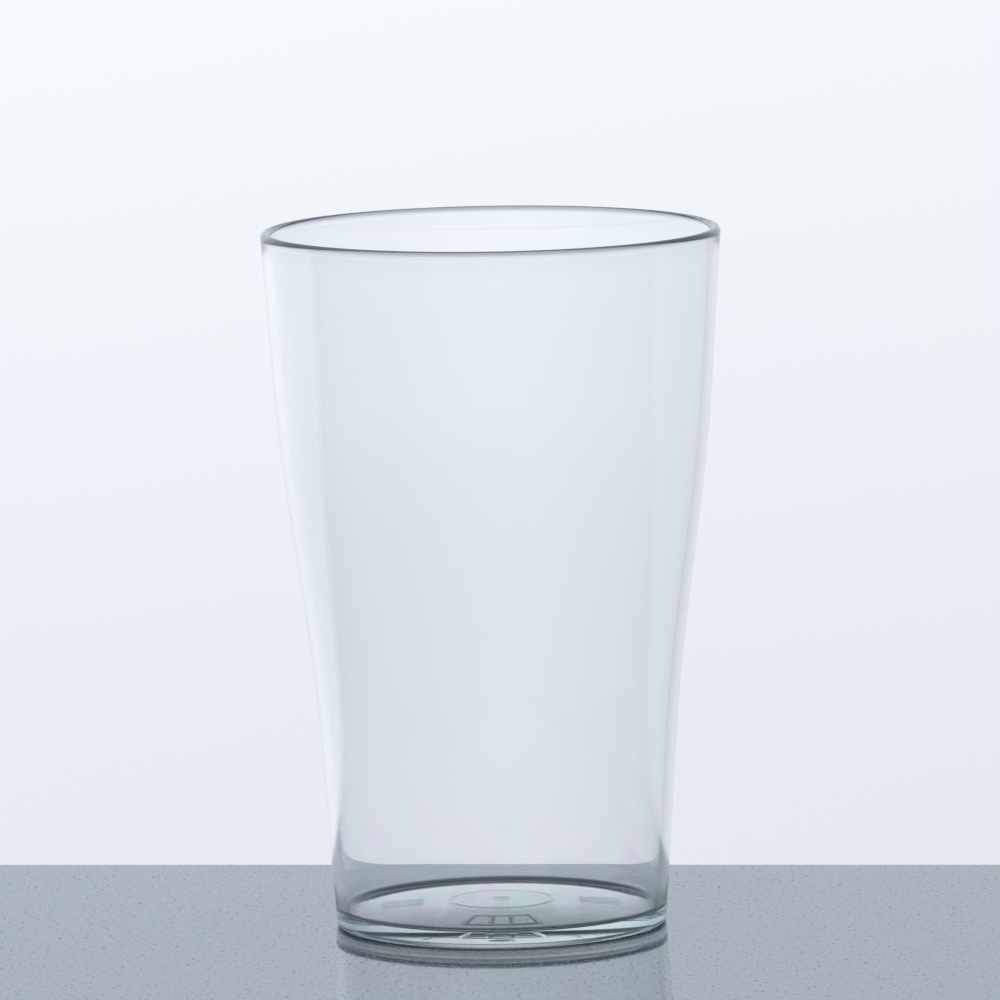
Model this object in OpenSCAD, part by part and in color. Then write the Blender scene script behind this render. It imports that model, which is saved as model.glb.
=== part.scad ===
// Pint tumbler: one clear moulding. A thin wall rises from a thick floor, flares softly
// through its middle and ends in a rounded rim. The floor is crowned, the underside rises
// with it, and the tumbler stands on the narrow ring round it.

/* [Body] */
// Height from the table to the crest of the rim
height = 137.5; // [125:0.5:160]
// Outer diameter at the parting line, just below the rim
mouth_d = 90; // [84:0.5:100]
// Outer diameter at the table, before the heel is rounded
foot_d = 65; // [60:0.5:72]
// Extra radius that the wall gains in its flared stretch
swell = 3.2; // [0:0.1:5]
// Height where the flared stretch starts
swell_start = 38; // [30:0.5:50]
// Height where the flared stretch ends
swell_end = 105.5; // [90:0.5:115]
// Thickness of the wall
wall = 2.1; // [1.6:0.1:3]

/* [Base] */
// Height of the floor's lowest line, beside the wall
floor_edge = 3.25; // [2.75:0.25:6]
// Rise of the floor from there to its centre
floor_crown = 1.9; // [1.5:0.1:3]
// Height of the underside's edge above the table
foot_lift = 0.9; // [0.4:0.1:1.4]
// Rise of the underside from its edge to its centre
dome = 1.74; // [0:0.02:1.8]
// Width of the foot ring's flat face
foot_w = 0.6; // [0.6:0.1:4]
// Radius of the rounded heel
heel_r = 1; // [0.3:0.1:2]
// Radius of the fillet between the floor and the wall inside
fillet_r = 1.15; // [0.6:0.05:3]

/* [Rim] */
// Height of the rim above its parting line
rim_h = 1.75; // [1.5:0.05:3]
// How far the rim stands proud of the wall at the parting line
rim_step = 0.03; // [0.02:0.01:0.2]

/* [Moulded marks] */
// Height of the raised marks under the floor
mark_h = 0.08; // [0.04:0.02:0.3]
// Width of the raised lines
line_w = 0.4; // [0.3:0.05:0.8]
// Diameter of the witness ring round the gate
ring_d = 19.9; // [14:0.1:24]
// Diameter of the gate's nub
gate_d = 3.6; // [1.5:0.1:6]
// Number of radial bars on each side
bars = 4; // [1:1:6]
// Number of bays in the blank frame at the front
frame_bays = 3; // [1:1:6]

/* [Hidden] */
$fn = 96;
wall_steps = 60;
arc_steps = 8;
dome_steps = 16;
line_steps = 4;

part_z = height - rim_h;
foot_r = foot_d / 2;
taper = (mouth_d / 2 - foot_r - swell) / part_z;
lean = atan(taper);
ring_out = foot_r + taper * heel_r - heel_r / cos(lean);
ring_in = ring_out - foot_w;
dome_r = ring_in - foot_lift;
crest_r = (rim_step + wall) / 2 * cos(lean);
crest_z = height - crest_r;
crest_x = outer_r(crest_z) + (rim_step - wall) / 2;
fillet_z = floor_edge + fillet_r;
fillet_x = inner_r(fillet_z) - fillet_r / cos(lean);
floor_lean = atan(2 * floor_crown / (foot_r - wall - fillet_r));

// The side bars and the front frame, by radius and by angle about the axis
bar_span = [15.5, 23.5];
bar_pitch = 6;
frame_span = [17, 23.5];
frame_half = 18;

// How far the marks reach up into the floor, so that they join it all along
root = 0.4;

function ease(t) = t <= 0 ? 0 : t >= 1 ? 1 : t * t * (3 - 2 * t);
function outer_r(z) = foot_r + taper * z + swell * ease((z - swell_start) / (swell_end - swell_start));
function inner_r(z) = outer_r(z) - wall;
function under_z(r) = foot_lift + dome * (1 - pow(r / dome_r, 2));
function spread(from, to, steps) = [for (i = [0:steps]) from + (to - from) * i / steps];
function arc(cx, cz, r, from, to, steps = arc_steps) =
    [for (a = spread(from, to, steps)) [cx + r * cos(a), cz + r * sin(a)]];
function inner_part(points) = [for (i = [1:len(points) - 2]) points[i]];

// Half section, anticlockwise: underside, foot, heel, outer wall, rim, inner wall, fillet, floor
module half_section() {
    underside = [for (r = spread(0, dome_r, dome_steps)) [r, under_z(r)]];
    heel = arc(ring_out, heel_r, heel_r, -90, -lean);
    fillet = arc(fillet_x, fillet_z, fillet_r, -lean, -90 - floor_lean);
    heel_top = heel[len(heel) - 1][1];
    fillet_top = fillet[0][1];
    floor_start = fillet[len(fillet) - 1];
    crest = arc(crest_x, crest_z, crest_r, -lean, 180 - lean, 2 * arc_steps);
    crest_end = crest[len(crest) - 1][1];
    outside = [for (z = spread(heel_top, part_z, wall_steps)) [outer_r(z), z]];
    inside = [for (z = spread(crest_end, fillet_top, wall_steps)) [inner_r(z), z]];
    floor_top = [for (r = spread(floor_start[0], 0, dome_steps))
        [r, floor_start[1] + floor_crown * (1 - pow(r / floor_start[0], 2))]];
    polygon(concat(
        underside,
        [[ring_in, 0]],
        heel,
        inner_part(outside),
        [[outer_r(part_z), part_z], [mouth_d / 2 + rim_step, part_z + rim_step]],
        crest,
        inner_part(inside),
        fillet,
        [for (i = [1:len(floor_top) - 1]) floor_top[i]]
    ));
}

// A flat raised mark, from the underside at radius r down to mark_h below it
module raised(r) {
    translate([0, 0, under_z(r) - mark_h])
        linear_extrude(mark_h + root)
            children();
}

module ring_line(r) {
    difference() {
        circle(r = r + line_w / 2);
        circle(r = r - line_w / 2);
    }
}

// A straight raised line that follows the underside from one radius to another, at this angle
module radial_line(angle, span) {
    steps = spread(span[0], span[1], line_steps);
    low = [for (r = steps) [r, under_z(r) - mark_h]];
    high = [for (i = [len(steps) - 1:-1:0]) [steps[i], under_z(steps[i]) + root]];
    rotate([0, 0, angle])
        rotate([90, 0, 0])
            linear_extrude(line_w, center = true)
                polygon(concat(low, high));
}

module witness_ring() {
    raised(ring_d / 2)
        ring_line(ring_d / 2);
}

module gate_nub() {
    translate([0, 0, under_z(0) - 2 * mark_h])
        cylinder(d = gate_d, h = 2 * mark_h + root);
}

// A fan of blank bars on each side
module side_bars() {
    for (side = [0, 180])
        for (i = [0:bars - 1])
            radial_line(side + (i - (bars - 1) / 2) * bar_pitch, bar_span);
}

// A blank frame at the front, divided into bays
module front_frame() {
    reach = 2 * frame_span[1];
    for (r = frame_span)
        raised(r)
            intersection() {
                ring_line(r);
                polygon([[0, 0], for (a = [-frame_half, frame_half]) reach * [sin(a), -cos(a)]]);
            }
    for (a = spread(-frame_half, frame_half, frame_bays))
        radial_line(a - 90, frame_span);
}

module tumbler() {
    color([0.86, 0.91, 0.95, 0.35])
        union() {
            rotate_extrude()
                half_section();
            witness_ring();
            gate_nub();
            side_bars();
            front_frame();
        }
}

tumbler();
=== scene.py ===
"""Clear plastic pint tumbler on a glossy grey-blue table, lit by a bright field behind and around it.

The tumbler is one moulding, so it is one piece: a lathed shell whose underside carries the moulded marks.
Lengths are in metres. Heights are measured from the table, and radii from the tumbler's axis.
"""
from math import atan, cos, degrees, pi, radians, remainder, sin, tau

import bmesh
import bpy
from mathutils import Matrix, Vector


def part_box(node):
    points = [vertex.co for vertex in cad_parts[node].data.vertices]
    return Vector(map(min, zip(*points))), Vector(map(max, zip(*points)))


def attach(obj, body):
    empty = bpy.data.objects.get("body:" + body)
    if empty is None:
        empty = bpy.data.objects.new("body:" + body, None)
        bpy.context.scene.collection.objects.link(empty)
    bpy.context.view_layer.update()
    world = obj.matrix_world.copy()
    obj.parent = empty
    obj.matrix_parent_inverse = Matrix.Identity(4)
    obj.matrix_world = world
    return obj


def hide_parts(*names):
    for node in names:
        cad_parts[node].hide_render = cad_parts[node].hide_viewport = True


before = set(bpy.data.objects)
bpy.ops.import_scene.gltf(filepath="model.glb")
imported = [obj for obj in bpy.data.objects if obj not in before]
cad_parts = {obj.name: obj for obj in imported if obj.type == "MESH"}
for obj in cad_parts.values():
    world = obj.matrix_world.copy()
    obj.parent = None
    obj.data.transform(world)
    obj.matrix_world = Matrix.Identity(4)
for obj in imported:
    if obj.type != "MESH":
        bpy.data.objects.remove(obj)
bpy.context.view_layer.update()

# ---------------------------------------------------------------- tumbler, as in the CAD model
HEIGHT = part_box("tumbler")[1][2]
MOUTH_R = 0.045
FOOT_R = 0.0325
SWELL = 0.0032
SWELL_START = 0.038
SWELL_END = 0.1055
WALL = 0.0021

FLOOR_EDGE = 0.00325
FLOOR_CROWN = 0.0019
FOOT_LIFT = 0.0009
FOOT_W = 0.0006
DOME = 0.00174
HEEL_R = 0.0010
FILLET_R = 0.00115

RIM_H = 0.00175
RIM_STEP = 0.00003

MARK_H = 0.00008
LINE_W = 0.0004
RING_R = 0.00995
GATE_R = 0.0018
GATE_H = 2 * MARK_H
BARS = 4
BAR_STEP = radians(6)
BAR_IN = 0.0155
BAR_OUT = 0.0235
FRAME_IN = 0.0170
FRAME_OUT = 0.0235
FRAME_HALF = radians(18)
FRAME_BAYS = 3

PART_Z = HEIGHT - RIM_H
TAPER = (MOUTH_R - FOOT_R - SWELL) / PART_Z
LEAN = atan(TAPER)
RING_OUT = FOOT_R + TAPER * HEEL_R - HEEL_R / cos(LEAN)
RING_IN = RING_OUT - FOOT_W
DOME_R = RING_IN - FOOT_LIFT
FLOOR_LEAN = atan(2 * FLOOR_CROWN / (FOOT_R - WALL - FILLET_R))
CREST_R = (RIM_STEP + WALL) / 2 * cos(LEAN)

# ---------------------------------------------------------------- mesh resolution
SEGMENTS = 384
WALL_ROWS = 32
ARC_ROWS = 10
FLOOR_ROWS = 20
DOME_PITCH = 0.00025
DOME_ROWS = round(DOME_R / DOME_PITCH)

# SOFT is the width of a mark's sloping edge, EDGE_REACH how far an eased corner runs along its sides, and
# STEP_ROW the distance from the parting step to the rows that keep its edges crisp.
SOFT = 0.00012
EDGE_REACH = 0.0002
EDGE_ROWS = 4
STEP_ROW = 0.00005


def ease(t):
    t = min(max(t, 0.0), 1.0)
    return t * t * (3 - 2 * t)


def outer_r(z):
    return FOOT_R + TAPER * z + SWELL * ease((z - SWELL_START) / (SWELL_END - SWELL_START))


def inner_r(z):
    return outer_r(z) - WALL


def under_z(r):
    return FOOT_LIFT + DOME * (1 - (r / DOME_R) ** 2)


def arc(cx, cz, radius, start, end, rows=ARC_ROWS):
    turns = [radians(start + (end - start) * i / rows) for i in range(rows + 1)]
    return [(cx + radius * cos(a), cz + radius * sin(a)) for a in turns]


def spread(start, end, rows):
    """Evenly spaced values from start to end, both ends included."""
    return [start + (end - start) * i / rows for i in range(rows + 1)]


def mark_depth(r, turn):
    """How far a moulded mark stands out of the underside at radius r and angle turn."""
    half_w = LINE_W / 2

    def line(across, along):
        """From 0 to 1: inside a line, by the distances past its side and past its end."""
        return 1 - ease(max(across, along) / SOFT + 0.5)

    def radial(offset, inner, outer):
        """A straight mark from one radius to another, by the turn to its middle line."""
        return line(r * abs(offset) - half_w, abs(r - (inner + outer) / 2) - (outer - inner) / 2)

    front = remainder(turn + pi / 2, tau)
    side = min(remainder(turn, tau), remainder(turn + pi, tau), key=abs)
    lines = [line(abs(r - RING_R) - half_w, -1)]
    lines += [radial(side - (k - (BARS - 1) / 2) * BAR_STEP, BAR_IN, BAR_OUT) for k in range(BARS)]
    past_end = r * (abs(front) - FRAME_HALF) - half_w
    lines += [line(abs(r - edge) - half_w, past_end) for edge in (FRAME_IN, FRAME_OUT)]
    posts = spread(-FRAME_HALF, FRAME_HALF, FRAME_BAYS)
    lines += [radial(front - post, FRAME_IN, FRAME_OUT) for post in posts]
    gate = GATE_H * max(0.0, 1 - (r / GATE_R) ** 2)
    return max(gate, MARK_H * max(lines))


def eased(before, at, after):
    """The corner at a point between two others, as a short curve that touches both of its sides."""
    before, at, after = Vector(before), Vector(at), Vector(after)
    start = at + (before - at).normalized() * EDGE_REACH
    end = at + (after - at).normalized() * EDGE_REACH
    return [tuple(start.lerp(at, t).lerp(at.lerp(end, t), t)) for t in spread(0, 1, EDGE_ROWS)]


def half_section():
    """Radius and height of each row, from the middle of the underside round to the middle of the floor."""
    lean = degrees(LEAN)
    under = [(r, under_z(r)) for r in spread(0, DOME_R, DOME_ROWS)]
    dome_edge = under.pop()
    ring_in = (RING_IN, 0)
    ring = eased(under[-1], dome_edge, ring_in) + eased(dome_edge, ring_in, (RING_OUT, 0))
    heel = arc(RING_OUT, HEEL_R, HEEL_R, -90, -lean)
    outside = [(outer_r(z), z) for z in spread(heel[-1][1], PART_Z - STEP_ROW, WALL_ROWS)[1:]]
    step = [(outer_r(PART_Z), PART_Z), (MOUTH_R + RIM_STEP, PART_Z + RIM_STEP)]
    step_top = PART_Z + RIM_STEP + STEP_ROW
    crest_z = HEIGHT - CREST_R
    crest_x = outer_r(crest_z) + (RIM_STEP - WALL) / 2
    crest = arc(crest_x, crest_z, CREST_R, -lean, 180 - lean, 2 * ARC_ROWS)
    rim = [(outer_r(step_top) + RIM_STEP, step_top)] + crest
    fillet_z = FLOOR_EDGE + FILLET_R
    fillet_x = inner_r(fillet_z) - FILLET_R / cos(LEAN)
    fillet = arc(fillet_x, fillet_z, FILLET_R, -lean, -90 - degrees(FLOOR_LEAN))
    inside = [(inner_r(z), z) for z in spread(crest[-1][1], fillet[0][1], WALL_ROWS)[1:-1]]
    floor_r, floor_z = fillet[-1]
    floor_radii = spread(floor_r, 0, FLOOR_ROWS)[1:]
    floor = [(r, floor_z + FLOOR_CROWN * (1 - (r / floor_r) ** 2)) for r in floor_radii]
    return under + ring + heel + outside + step + rim + inside + fillet + floor


def lathe(name, rows, marked):
    """A closed mesh turned about Z, with one vertex where a row lies on the axis.

    The first marked rows carry the moulded marks.
    """
    bm = bmesh.new()
    turns = [tau * k / SEGMENTS for k in range(SEGMENTS)]
    rings = []
    for i, (r, z) in enumerate(rows):
        ring = []
        for turn in (turns if r else turns[:1]):
            depth = mark_depth(r, turn) if i < marked else 0
            ring.append(bm.verts.new((r * cos(turn), r * sin(turn), z - depth)))
        rings.append(ring)
    for low, high in zip(rings, rings[1:]):
        for k in range(SEGMENTS):
            n = (k + 1) % SEGMENTS
            if len(low) == 1:
                bm.faces.new((low[0], high[n], high[k]))
            elif len(high) == 1:
                bm.faces.new((low[k], low[n], high[0]))
            else:
                bm.faces.new((low[k], low[n], high[n], high[k]))
    bm.normal_update()
    mesh = bpy.data.meshes.new(name)
    bm.to_mesh(mesh)
    bm.free()
    for face in mesh.polygons:
        face.use_smooth = True
    piece = bpy.data.objects.new(name, mesh)
    bpy.context.collection.objects.link(piece)
    return piece


# ---------------------------------------------------------------- node helpers
def rescaled(tree, source, low, high, to_low, to_high):
    """A straight-line map of source from low..high to to_low..to_high, held at its ends."""
    span = tree.nodes.new("ShaderNodeMapRange")
    span.inputs["From Min"].default_value = low
    span.inputs["From Max"].default_value = high
    span.inputs["To Min"].default_value = to_low
    span.inputs["To Max"].default_value = to_high
    tree.links.new(source, span.inputs["Value"])
    return span.outputs["Result"]


def combined(tree, operation, *sources):
    """Two or more values put together one after another by a Math node each."""
    total = sources[0]
    for source in sources[1:]:
        both = tree.nodes.new("ShaderNodeMath")
        both.operation = operation
        tree.links.new(total, both.inputs[0])
        tree.links.new(source, both.inputs[1])
        total = both.outputs["Value"]
    return total


def product(tree, first, second):
    """Two colours multiplied."""
    both = tree.nodes.new("ShaderNodeVectorMath")
    both.operation = "MULTIPLY"
    tree.links.new(first, both.inputs[0])
    tree.links.new(second, both.inputs[1])
    return both.outputs["Vector"]


def colour_ramp(tree, source, pairs, place):
    """A colour that follows source along pairs, with place turning each pair's first value into 0 to 1."""
    ramp = tree.nodes.new("ShaderNodeValToRGB")
    stops = ramp.color_ramp.elements
    while len(stops) < len(pairs):
        stops.new(0.5)
    for stop, (value, colour) in zip(stops, pairs):
        stop.position = place(value)
        stop.color = (*colour, 1)
    tree.links.new(source, ramp.inputs["Fac"])
    return ramp.outputs["Color"]


def coordinates(tree):
    """The piece's own coordinates, and its height."""
    coord = tree.nodes.new("ShaderNodeTexCoord").outputs["Object"]
    axes = tree.nodes.new("ShaderNodeSeparateXYZ")
    tree.links.new(coord, axes.inputs["Vector"])
    return coord, axes.outputs["Z"]


def noise(tree, coord, size, detail=2.0, stretch=1.0):
    """Noise with features of about this size in metres, made stretch times longer along Z."""
    scaled = tree.nodes.new("ShaderNodeMapping")
    scaled.inputs["Scale"].default_value = (1 / size, 1 / size, 1 / (size * stretch))
    tree.links.new(coord, scaled.inputs["Vector"])
    made = tree.nodes.new("ShaderNodeTexNoise")
    made.inputs["Scale"].default_value = 1.0
    made.inputs["Detail"].default_value = detail
    tree.links.new(scaled.outputs["Vector"], made.inputs["Vector"])
    return made.outputs["Fac"]


def add_bump(tree, height, depth):
    """Bump from a height that runs from 0 to 1, where 1 is this depth in metres."""
    bump = tree.nodes.new("ShaderNodeBump")
    bump.inputs["Distance"].default_value = depth
    tree.links.new(height, bump.inputs["Height"])
    tree.links.new(bump.outputs["Normal"], tree.nodes["Principled BSDF"].inputs["Normal"])


# ---------------------------------------------------------------- clear plastic
# A SPAN is the part of a noise's range, 0 to 1, over which its effect changes. STRESS_TINTS pairs values of
# the stress noise, which fades out by STRESS_TOP up the wall, with the plastic's colour there. WEAR_H is how
# far the wear reaches down from the crest, FOOT_SHARE the foot's wear as a share of the rim's, and RIM_HAZE
# the share of its clearness that the crest has lost.
PLASTIC_IOR = 1.59
PLASTIC_TINT = (0.30, 0.39, 0.34, 1)
PLASTIC_DENSITY = 9.0
STRESS_TINTS = [(0.40, (1.0, 0.94, 0.98)), (0.50, (1.0, 1.0, 1.0)), (0.60, (0.94, 1.0, 0.965))]
STRESS_TOP = 0.020
STRESS_SIZE = 0.010
SMUDGE_SIZE = 0.030
SMUDGE_SPAN = (0.45, 0.75)
SMUDGE_ROUGH = 0.012
WEAR_H = 0.0011
WEAR_GRAIN = 0.00045
WEAR_SPAN = (0.45, 0.62)
WEAR_ROUGH = 0.20
RIM_HAZE = 0.50
FOOT_SHARE = 0.4
RELIEF = 0.00001
SCRATCH_W = 0.0006
SCRATCH_STRETCH = 14.0
SCRATCH_SPAN = (0.4, 0.6)
SCRATCH_SHARE = 0.04


def clear_plastic():
    """Clear moulded plastic: stress colours at the base, smudges, scratches, a worn rim and a worn foot."""
    mat = bpy.data.materials.new("clear_plastic")
    mat.use_nodes = True
    tree = mat.node_tree
    shader = tree.nodes["Principled BSDF"]
    shader.inputs["IOR"].default_value = PLASTIC_IOR
    volume = tree.nodes.new("ShaderNodeVolumeAbsorption")
    volume.inputs["Color"].default_value = PLASTIC_TINT
    volume.inputs["Density"].default_value = PLASTIC_DENSITY
    tree.links.new(volume.outputs["Volume"], tree.nodes["Material Output"].inputs["Volume"])

    coord, height = coordinates(tree)
    low_wall = rescaled(tree, height, 0, STRESS_TOP, 1, 0)
    stress = rescaled(tree, noise(tree, coord, STRESS_SIZE, detail=1.0), 0, 1, -0.5, 0.5)
    stress = rescaled(tree, combined(tree, "MULTIPLY", stress, low_wall), -0.5, 0.5, 0, 1)
    tree.links.new(colour_ramp(tree, stress, STRESS_TINTS, float), shader.inputs["Base Color"])

    rim_wear = rescaled(tree, height, HEIGHT - WEAR_H, HEIGHT, 0, 1)
    foot_wear = rescaled(tree, height, 0, WEAR_H / 2, FOOT_SHARE, 0)
    grain = rescaled(tree, noise(tree, coord, WEAR_GRAIN, detail=3.0), *WEAR_SPAN, 0, 1)
    wear = combined(tree, "MULTIPLY", combined(tree, "ADD", rim_wear, foot_wear), grain)
    smudge = rescaled(tree, noise(tree, coord, SMUDGE_SIZE, detail=4.0), *SMUDGE_SPAN, 0, SMUDGE_ROUGH)
    rough_wear = rescaled(tree, wear, 0, 1, 0, WEAR_ROUGH)
    tree.links.new(combined(tree, "ADD", smudge, rough_wear), shader.inputs["Roughness"])
    tree.links.new(rescaled(tree, rim_wear, 0, 1, 1, 1 - RIM_HAZE), shader.inputs["Transmission Weight"])

    scratch = noise(tree, coord, SCRATCH_W, stretch=SCRATCH_STRETCH)
    relief = combined(tree, "ADD", wear, rescaled(tree, scratch, *SCRATCH_SPAN, 0, SCRATCH_SHARE))
    add_bump(tree, relief, RELIEF)
    return mat


# ---------------------------------------------------------------- stage
# GRAIN_GAIN pairs values of the grain's noise with the gain on the table's colour there.
TABLE_IOR = 1.5
TABLE_METAL = 0.4
TABLE_COLOUR = (0.19, 0.215, 0.25)
TABLE_ROUGH = (0.02, 0.04)
TABLE_BACK = 0.0675
TABLE_TURN = radians(-5.8)
TABLE_DEPTH = 1.6
TABLE_WIDTH = 3.0
TABLE_T = 0.03
GRAIN_GAIN = [(0.28, 0.40), (0.40, 0.92), (0.65, 1.08)]
GRAIN_SIZE = 0.0011
MOTTLE_SIZE = 0.012
MOTTLE_SPAN = (0.3, 0.7)
SPECK_SIZE = 0.0009
SPECK_SPAN = (0.25, 0.42)
SPECK_ROUGH = 0.5
TABLE_RELIEF = 0.000003


def table_top():
    """Polished stone: a fine dark grain, a mottled polish with matt specks in it, and a faint relief."""
    mat = bpy.data.materials.new("table_top")
    mat.use_nodes = True
    tree = mat.node_tree
    shader = tree.nodes["Principled BSDF"]
    shader.inputs["IOR"].default_value = TABLE_IOR
    shader.inputs["Metallic"].default_value = TABLE_METAL
    coord = coordinates(tree)[0]
    grain = noise(tree, coord, GRAIN_SIZE, detail=3.0)
    tints = [(shade, [gain * c for c in TABLE_COLOUR]) for shade, gain in GRAIN_GAIN]
    tree.links.new(colour_ramp(tree, grain, tints, float), shader.inputs["Base Color"])
    mottle = noise(tree, coord, MOTTLE_SIZE, detail=3.0)
    polish = rescaled(tree, mottle, *MOTTLE_SPAN, *TABLE_ROUGH)
    specks = rescaled(tree, noise(tree, coord, SPECK_SIZE), *SPECK_SPAN, SPECK_ROUGH, 0)
    tree.links.new(combined(tree, "ADD", polish, specks), shader.inputs["Roughness"])
    add_bump(tree, grain, TABLE_RELIEF)
    return mat


def build_table():
    """A slab whose back edge lies TABLE_BACK behind the tumbler's axis, turned a little about it."""
    x = TABLE_WIDTH / 2
    front = TABLE_BACK - TABLE_DEPTH
    corners = [(-x, front), (x, front), (x, TABLE_BACK), (-x, TABLE_BACK)]
    verts = [(cx, cy, z) for z in (-TABLE_T, 0) for cx, cy in corners]
    sides = [(i, (i + 1) % 4, (i + 1) % 4 + 4, i + 4) for i in range(4)]
    mesh = bpy.data.meshes.new("table")
    mesh.from_pydata(verts, [], [(3, 2, 1, 0), (4, 5, 6, 7)] + sides)
    mesh.transform(Matrix.Rotation(TABLE_TURN, 4, "Z"))
    mesh.materials.append(table_top())
    table = bpy.data.objects.new("table", mesh)
    bpy.context.collection.objects.link(table)


# Each pair is a place and the colour of the light there. SKY goes by elevation in degrees, and GLOW by
# the direction from front to back.
SKY = [
    (-90, (0.50, 0.53, 0.57)),
    (-25, (0.62, 0.67, 0.74)),
    (-8.7, (0.800, 0.835, 0.905)),
    (-4.6, (0.905, 0.945, 0.980)),
    (2, (0.94, 0.99, 1.04)),
    (8, (0.88, 0.99, 1.08)),
    (13, (0.88, 0.99, 1.08)),
    (19, (0.50, 0.57, 0.63)),
    (28, (0.15, 0.19, 0.24)),
    (50, (0.15, 0.18, 0.21)),
    (64, (0.62, 0.57, 0.53)),
    (90, (0.82, 0.74, 0.68)),
]
SKY_PEAK = 1.2
GLOW = [
    (-1.0, (1.05, 1.12, 1.22)),
    (-0.5, (0.72, 0.82, 0.94)),
    (0.0, (0.62, 0.74, 0.86)),
    (0.45, (0.62, 0.70, 0.78)),
    (0.90, (1.0, 1.0, 1.0)),
    (1.0, (1.0, 1.0, 1.0)),
]
LEFT_GAIN = 0.26


def build_world():
    """A bright field low behind the tumbler, dimmer at the sides and overhead, and stronger on the left."""
    world = bpy.data.worlds.new("studio")
    bpy.context.scene.world = world
    world.use_nodes = True
    tree = world.node_tree
    back = tree.nodes["Background"]
    coord = tree.nodes.new("ShaderNodeTexCoord")
    axes = tree.nodes.new("ShaderNodeSeparateXYZ")
    tree.links.new(coord.outputs["Generated"], axes.inputs["Vector"])
    rise = rescaled(tree, axes.outputs["Z"], -1, 1, 0, 1)
    depth = rescaled(tree, axes.outputs["Y"], -1, 1, 0, 1)
    side = rescaled(tree, axes.outputs["X"], -1, 1, 1 + LEFT_GAIN, 1 - LEFT_GAIN)
    scaled = [(elevation, [c / SKY_PEAK for c in colour]) for elevation, colour in SKY]
    sky = colour_ramp(tree, rise, scaled, lambda elevation: (sin(radians(elevation)) + 1) / 2)
    glow = colour_ramp(tree, depth, GLOW, lambda y: (y + 1) / 2)
    tree.links.new(product(tree, product(tree, sky, glow), side), back.inputs["Color"])
    back.inputs["Strength"].default_value = SKY_PEAK


CAMERA_BACK = 1.9707
CAMERA_UP = 0.33907
CAMERA_RIGHT = 0.00102
CAMERA_PITCH = 0.1288
CAMERA_ROLL = -0.0168
CAMERA_LENS = 364.37
CAMERA_SENSOR = 36
CAMERA_REACH = 20


def build_camera():
    data = bpy.data.cameras.new("camera")
    data.lens = CAMERA_LENS
    data.sensor_width = CAMERA_SENSOR
    data.clip_end = CAMERA_REACH
    camera = bpy.data.objects.new("camera", data)
    bpy.context.collection.objects.link(camera)
    place = Matrix.Translation((CAMERA_RIGHT, -CAMERA_BACK, CAMERA_UP))
    tilt = Matrix.Rotation(pi / 2 - CAMERA_PITCH, 4, "X")
    camera.matrix_world = place @ tilt @ Matrix.Rotation(CAMERA_ROLL, 4, "Z")
    bpy.context.scene.camera = camera


def build_tumbler():
    rows = half_section()
    piece = lathe("clear_tumbler", rows, DOME_ROWS)
    piece.data.materials.append(clear_plastic())
    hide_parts("tumbler")
    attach(piece, "root")


BOUNCES = 32

build_camera()
build_table()
build_world()
build_tumbler()

scene = bpy.context.scene
scene.view_settings.view_transform = "Standard"
scene.cycles.max_bounces = BOUNCES
scene.cycles.transmission_bounces = BOUNCES
scene.cycles.glossy_bounces = BOUNCES // 2
